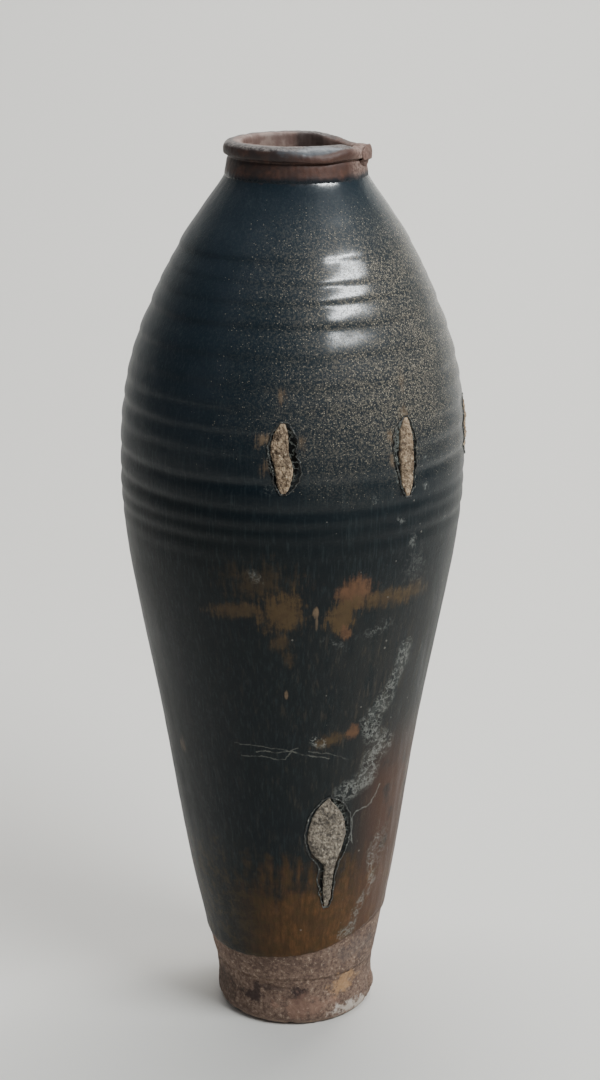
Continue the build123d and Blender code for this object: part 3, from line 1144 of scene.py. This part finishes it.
class JAR_OT_lute_joints(bpy.types.Operator):
    """Lays the slip that glues the thrown sections together"""

    bl_idname = "jar.lute_joints"
    bl_label = "Lute the joints"

    def execute(self, context):
        for name, joint, inset, smear, node, look in (
            ("foot_joint_slip", 32, 0.2, 1.5, "foot_slip_seam", "foot_clay"),
            ("leg_joint_slip", 212, 2.2, 0.5, "leg_slip_seam", "joining_slip"),
            ("belly_joint_slip", 312, 2.2, 0.5, "belly_slip_seam", "joining_slip"),
            ("neck_joint_slip", 534, 2.2, 0.5, "neck_slip_seam", "joining_slip"),
        ):
            outer = clay_radius(joint) - inset
            inner = outer - WALL + 3
            outline = []
            for radius, lift in (
                (outer - 0.2, -smear), (outer + 0.1, 0.0), (outer, smear), (outer - 3, 0.5),
                (inner, 0.4), (inner, -0.4), (outer - 3, -0.5),
            ):
                outline.append((radius, joint_height(joint, radius) + lift))
            seam = turn_section(name, outline, 96, 2, "loop")

            def squeeze(angle, radius, height, outer=outer, smear=smear):
                if radius > outer - 1.5:
                    radius += wobble(angle, height)
                    if smear > 1:
                        radius += 0.45 * grain(angle, height, 15, seed=11)
                        radius += 0.30 * grain(angle, height, 4, seed=12)
                    else:
                        radius += 0.5 * grain(angle, height, 12, seed=21) - 0.2
                        height += 0.7 * grain(angle, 0, 18, seed=22)
                return radius, height

            shape_wall(seam, squeeze)
            finish_piece(seam, [node], MATERIALS[look])
        return {"FINISHED"}


class JAR_OT_pour_black_glaze(bpy.types.Operator):
    """Pours the black glaze over the thrown wall, down to its beaded edge above the foot"""

    bl_idname = "jar.pour_black_glaze"
    bl_label = "Pour the black glaze"

    def execute(self, context):
        bead = context.scene.jar_sizes.glaze_bead
        low = GLAZE_LINE_LOW
        face = clay_radius(low)
        outline = [
            (face - COAT_BACK, low + 3.0),
            (face - 0.4, low + 0.5),
            (face + COAT, low),
            (face + COAT + 1.2 * bead, low + 1.2),
            (face + COAT + 1.2 * bead + 0.6, low + 3.5),
            (clay_radius(low + 8) + COAT + 0.1, low + 8.0),
        ]
        heights = [low + 16.0]
        while heights[-1] < 532:
            # The rows are closest where the finger grooves are finest.
            step = 4.6 if 440 < heights[-1] < 505 else 7.0 if 318 < heights[-1] <= 440 else 13.0
            heights.append(heights[-1] + step)
        for height in heights[:-1]:
            outline.append((clay_radius(height) + COAT, height))
        for height, out in ((536, COAT), (540, COAT), (542, 0.4), (542.5, -1.5)):
            outline.append((clay_radius(height) + out, height))
        for height in (515, 470, 400, 300, 180):
            outline.append((clay_radius(height) - COAT_BACK, height))
        piece = turn_section("poured_black_glaze", outline, 84, 2, "loop")

        def reshape(angle, radius, height):
            stand = radius - clay_radius(height)
            if height < low + 60:
                line = along(GLAZE_LINE, math.degrees(angle)) + 0.5 * grain(angle, 0, 7, seed=31)
                line += 0.5 * grain(angle, 0, 2.4, seed=32)
                height += (line - low) * (1 - (height - low) / 60)
            if stand < -0.5:
                return clay_radius(height) + stand + wobble(angle, height), height
            face = glaze_radius(angle, height) + stand - COAT
            for name in SCARS:
                face -= scar_pit(name, angle, height)
            return face, height

        shape_wall(piece, reshape)
        finish_piece(piece, ["black_glaze_coat"], MATERIALS["black_glaze"])
        return {"FINISHED"}


def scar_edge(name, column, height):
    """Angle in degrees of one edge of a scar: column 1 to 4 of its rows."""
    return along([(row[column], row[0]) for row in SCARS[name]], height)


def scar_middle(name):
    """Angle and height of a scar's middle."""
    rows = SCARS[name]
    height = (rows[0][0] + rows[-1][0]) / 2
    return (scar_edge(name, 2, height) + scar_edge(name, 3, height)) / 2, height


def scar_pit(name, angle, height):
    """Depth of the pit torn in the glaze round a scar."""
    low, high = SCARS[name][0][0], SCARS[name][-1][0]
    if not low < height < high:
        return 0.0
    left, right = scar_edge(name, 1, height), scar_edge(name, 4, height)
    half = max(0.5, (right - left) / 2)
    across = (math.degrees(angle) - (left + right) / 2) / half
    up = 2 * (height - low) / (high - low) - 1
    return PIT * max(0.0, 1 - across**4) * (1 - up**6)


class JAR_OT_tear_scars(bpy.types.Operator):
    """Leaves torn sandy clay where the jar stuck in the kiln, in rims of burst glaze"""

    bl_idname = "jar.tear_scars"
    bl_label = "Tear the kiln scars"

    def execute(self, context):
        for number, name in enumerate(SCARS):
            slot_name = "leg_scar_clay" if name == "leg_scar" else "scar_clay"
            middle, level = scar_middle(name)
            low, high = SCARS[name][0][0], SCARS[name][-1][0]
            half_length = (high - low) / 2
            girth = math.radians(1) * glaze_radius(math.radians(middle), level)
            stand = SCAR_STAND[name]
            seed = 40 + 7 * number

            clear_bench()
            bpy.ops.mesh.primitive_grid_add(x_subdivisions=70, y_subdivisions=200, size=2)
            clay = bpy.context.object
            clay.name = "torn_" + name

            def tear(x, y, z):
                across, up = x * MM, y * MM
                height = level + half_length * up
                left, right = scar_edge(name, 2, height), scar_edge(name, 3, height)
                fray = 0.5 * noise.noise(Vector((seed + 9, up * half_length / 2.5, 1.0 + across)))
                place_across = ((left + right) / 2 + across * (right - left) / 2 - middle) * girth
                place = Vector((place_across, up * half_length, seed))
                crown = (1 - across**4) * min(1.0, 3.0 * (1 - abs(up)))
                chunk = noise.noise(place / 5.0)
                rough = noise.fractal(place / 1.9, 0.7, 2.1, 5)
                lift = stand * crown * (0.55 + 0.55 * chunk) + 0.75 * min(1.0, 2 * crown) * rough
                if max(abs(across), abs(up)) > 0.985:
                    lift = -1.6
                return (place_across + fray * across, up * half_length, min(lift, stand + 0.3))

            move_points(clay, tear)
            lay_on_wall(clay, middle, level, glaze_radius)
            bpy.ops.object.mode_set(mode="EDIT")
            bpy.ops.mesh.select_all(action="SELECT")
            bpy.ops.mesh.normals_make_consistent(inside=False)
            bpy.ops.object.mode_set(mode="OBJECT")
            bpy.ops.object.shade_smooth()
            finish_piece(clay, [name], MATERIALS[slot_name])

            clear_bench()
            bpy.ops.mesh.primitive_torus_add(
                major_segments=220, minor_segments=10, major_radius=10 * MM, minor_radius=MM
            )
            rim = bpy.context.object
            rim.name = "burst_glaze_" + name

            def curl(x, y, z):
                turn = math.atan2(y, x)
                out = math.hypot(x, y) - 10
                up = math.sin(turn)
                height = level + half_length * up
                edge = scar_edge(name, 4 if x > 0 else 1, height)
                wander = noise.noise(Vector((4 * math.cos(turn), 9 * up, seed)))
                swell = 0.5 + 0.35 * noise.noise(Vector((9 * math.cos(turn), 16 * up, seed + 4)))
                place_across = (edge - middle) * girth + 1.2 * wander + swell * out * math.cos(turn)
                place_up = half_length * up + swell * out * up
                return (place_across, place_up, 0.8 * swell * z + 0.25 * wander + 0.1)

            move_points(rim, curl)
            lay_on_wall(rim, middle, level, glaze_radius)
            bpy.ops.object.shade_smooth()
            finish_piece(rim, [], MATERIALS["burst_glaze"])
        return {"FINISHED"}


class JAR_OT_turn_lip(bpy.types.Operator):
    """Turns the lip, and glazes neck and lip brown"""

    bl_idname = "jar.turn_lip"
    bl_label = "Turn and glaze the lip"

    def execute(self, context):
        face = context.scene.jar_sizes.lip_turn
        neck = clay_radius(545)
        outline = [
            (clay_radius(538) - 0.4, 537.4),
            (clay_radius(539) + 0.75, 538.8),
            (clay_radius(540.5) + 1.25, 540.6),
            (neck + 1.5, 543.0),
            (neck + 0.9, 546.0),
            (neck + 0.5, 549.2),
            (neck - 0.4, 550.4),
            (neck - 0.3, 551.2),
            (neck + 1.2, 551.8),
            (face - 0.4, 552.2),
            (face, 553.2),
            (face + 0.2, 555.4),
            (face - 0.1, 557.2),
            (face - 1.0, 558.5),
            (face - 3.2, 559.4),
            (face - 6.0, 559.7),
            (35.6, 559.6),
            (33.9, 559.0),
            (33.1, 557.4),
            (MOUTH, 552.0),
            (MOUTH, 546.0),
            (33.2, 541.0),
            (33.9, 541.0),
            (33.9, 555.0),
            (36.0, 557.6),
            (face - 2.5, 556.6),
            (face - 1.6, 554.0),
            (neck - 1.6, 550.4),
            (neck - 1.2, 543.0),
        ]
        piece = turn_section("brown_lip_and_neck", outline, 100, 2, "loop")

        def reshape(angle, radius, height):
            degrees = math.degrees(angle)
            radius += wobble(angle, height)
            lip = min(1.0, max(0.0, (height - 550.0) / 6.0))
            crest = along(LIP_CREST, degrees)
            height += lip * (crest - 559.5)
            press = math.exp(-(((degrees - 22) / 22) ** 2))
            outward = min(1.0, max(0.0, (radius - 36.0) / 8.0))
            height -= lip * press * 4.6 * outward
            radius += lip * press * 0.4 * outward
            radius += lip * 0.5 * grain(angle, height, 22, seed=51)
            height += lip * 0.45 * grain(angle, radius, 14, seed=52)
            radius += 0.16 * grain(angle, height, 4, seed=53)
            height += lip * 0.2 * grain(angle, radius, 4, seed=54)
            return radius, min(height, JAR_HEIGHT - 0.05)

        shape_wall(piece, reshape)
        finish_piece(piece, ["brown_neck_glaze"], MATERIALS["brown_glaze"])

        coil = turn_section(
            "turned_lip_coil",
            [(34.8, 550.0), (34.8, 554.5), (38.0, 555.5), (face - 3.0, 554.5), (face - 3.0, 551.5),
             (neck - 1.8, 550.0)],
            64, 1, "loop",
        )
        shape_wall(coil, lambda angle, radius, height: (radius + wobble(angle, height), height))
        finish_piece(coil, ["lip_ring"], MATERIALS["body_clay"])
        return {"FINISHED"}


class JAR_OT_line_inside(bpy.types.Operator):
    """Rinses the inside with a thin brown glaze"""

    bl_idname = "jar.line_inside"
    bl_label = "Line the inside"

    def execute(self, context):
        outline = [(12.0, 17.4), (26.0, 17.5), (35.0, 19.0), (38.5, 24.0), (41.0, 32.0)]
        for height in range(46, 520, 18):
            outline.append((clay_radius(height) - WALL - 0.5, height))
        outline += [(41.5, 524.0), (36.0, 531.0), (34.0, 537.0), (33.6, 541.0), (34.0, 541.3),
                    (36.8, 533.0), (42.4, 526.5)]
        for height in range(508, 40, -60):
            outline.append((clay_radius(height) - WALL + 0.6, height))
        outline += [(41.9, 30.0), (36.0, 17.4), (26.0, 16.4), (12.0, 16.4)]
        piece = turn_section("brown_lining", outline, 72, 1, "axis")
        shape_wall(piece, lambda angle, radius, height: (radius + wobble(angle, height), height))
        finish_piece(piece, ["inner_glaze"], MATERIALS["lining_glaze"])
        return {"FINISHED"}


class JAR_OT_stick_lumps(bpy.types.Operator):
    """Sticks on the stray lumps of clay at the foot and at the lip"""

    bl_idname = "jar.stick_lumps"
    bl_label = "Stick on the clay lumps"

    def execute(self, context):
        def neck_face(angle, height):
            return 41.6 if height < 550 else 43.2

        def foot_face(angle, height):
            return clay_radius(max(height, 7.0)) + wobble(angle, height)

        for name, angle, height, size, wall_at, slot_name, seed in (
            ("stray_foot_lump", 80, 12.0, (7.0, 5.5, 1.6), foot_face, "foot_clay", 61),
            ("stray_lip_lump", 74, 552.0, (9.0, 6.6, 2.0), neck_face, "lip_lump_glaze", 62),
        ):
            clear_bench()
            bpy.ops.mesh.primitive_uv_sphere_add(segments=64, ring_count=40, radius=MM)
            piece = bpy.context.object
            piece.name = name

            def squash(x, y, z):
                place = Vector((x, y, z)) * 1.1 + Vector((seed, 0, 0))
                bump = 1 + 0.12 * noise.fractal(place, 1.0, 2, 3)
                return (x * size[0] * bump, y * size[1] * bump, z * size[2] * bump)

            move_points(piece, squash)
            lay_on_wall(piece, angle, height, wall_at)
            bpy.ops.object.shade_smooth()
            node = "foot_lump" if "foot" in name else "lip_lump"
            finish_piece(piece, [node], MATERIALS[slot_name])
        return {"FINISHED"}


class JAR_OT_set_stage(bpy.types.Operator):
    """Sets a plain pale floor that sweeps up behind the jar, soft lights and a camera"""

    bl_idname = "jar.set_stage"
    bl_label = "Set the stage"

    def execute(self, context):
        clear_bench()
        bpy.ops.mesh.primitive_plane_add(size=1, location=(0, 0, 0))
        floor = bpy.context.object
        floor.name = "stage_sweep"
        bpy.ops.transform.resize(value=(8, 3, 1))
        bpy.ops.transform.translate(value=(0, -0.6, 0))
        bpy.ops.object.transform_apply(location=True, rotation=True, scale=True)
        bpy.ops.object.mode_set(mode="EDIT")
        bpy.ops.mesh.select_mode(type="EDGE")
        bpy.ops.mesh.select_all(action="DESELECT")
        bpy.ops.object.mode_set(mode="OBJECT")
        for edge in floor.data.edges:
            edge.select = all(floor.data.vertices[v].co.y > 0.5 for v in edge.vertices)
        bpy.ops.object.mode_set(mode="EDIT")
        for i in range(8):
            turn = math.radians(90 * (i + 0.5) / 8)
            step = 0.9 * math.radians(90 / 8)
            value = (0, step * math.cos(turn), step * math.sin(turn))
            bpy.ops.mesh.extrude_region_move(TRANSFORM_OT_translate={"value": value})
        bpy.ops.mesh.extrude_region_move(TRANSFORM_OT_translate={"value": (0, 0, 2.6)})
        bpy.ops.object.mode_set(mode="OBJECT")
        bpy.ops.object.shade_smooth()
        paper = bpy.data.materials.new("pale_paper")
        paper.use_nodes = True
        paper_shader = paper.node_tree.nodes["Principled BSDF"].inputs
        paper_shader["Base Color"].default_value = colour(222, 220, 214)
        paper_shader["Roughness"].default_value = 0.9
        floor.data.materials.append(paper)

        def lamp(name, place, aim, size, power, tint=(1, 1, 1)):
            clear_bench()
            bpy.ops.object.light_add(type="AREA", location=place)
            light = bpy.context.object
            light.name = name
            light.data.shape = "ELLIPSE"
            light.data.size, light.data.size_y = size
            light.data.energy = power
            light.data.color = tint
            light.rotation_euler = (Vector(aim) - Vector(place)).to_track_quat("-Z", "Y").to_euler()

        lamp("key_lamp", (1.15, -0.9, 1.63), (0, 0, 0.47), (1.15, 0.15), 44, (0.94, 0.98, 1.0))
        lamp("wall_wash", (0.3, 0.6, 2.3), (0, 1.4, 0.4), (2.4, 0.6), 62)

        world = bpy.data.worlds.new("soft_room")
        world.use_nodes = True
        room = world.node_tree.nodes["Background"]
        room.inputs["Color"].default_value = (0.86, 0.9, 1.0, 1)
        room.inputs["Strength"].default_value = 0.16
        context.scene.world = world

        clear_bench()
        bpy.ops.object.camera_add(
            location=(4.6 * MM, -1.313, 0.7286), rotation=(math.radians(90 - 17.59), 0, 0)
        )
        camera = bpy.context.object
        camera.data.sensor_width = 36
        camera.data.lens = context.scene.jar_sizes.lens
        context.scene.camera = camera
        return {"FINISHED"}


class JAR_PT_panel(bpy.types.Panel):
    """Lists the steps of making the jar"""

    bl_label = "Stoneware jar"
    bl_idname = "JAR_PT_panel"
    bl_space_type = "VIEW_3D"
    bl_region_type = "UI"
    bl_category = "Jar"

    def draw(self, context):
        sizes = context.scene.jar_sizes
        for label in ("glaze_bead", "lip_turn", "lens", "glaze_tone", "neck_tone", "foot_tone"):
            self.layout.prop(sizes, label)
        for step in STEPS:
            self.layout.operator(step.bl_idname)


STEPS = (
    JAR_OT_throw_foot,
    JAR_OT_throw_wall,
    JAR_OT_lute_joints,
    JAR_OT_pour_black_glaze,
    JAR_OT_turn_lip,
    JAR_OT_line_inside,
    JAR_OT_tear_scars,
    JAR_OT_stick_lumps,
    JAR_OT_set_stage,
)


def register():
    for made in (JarSizes, *STEPS, JAR_PT_panel):
        bpy.utils.register_class(made)
    bpy.types.Scene.jar_sizes = PointerProperty(type=JarSizes)


def unregister():
    del bpy.types.Scene.jar_sizes
    for made in (JAR_PT_panel, *reversed(STEPS), JarSizes):
        bpy.utils.unregister_class(made)


def main():
    register()
    mix_materials()
    for step in STEPS:
        family, action = step.bl_idname.split(".")
        getattr(getattr(bpy.ops, family), action)()


if __name__ == "__main__":
    main()
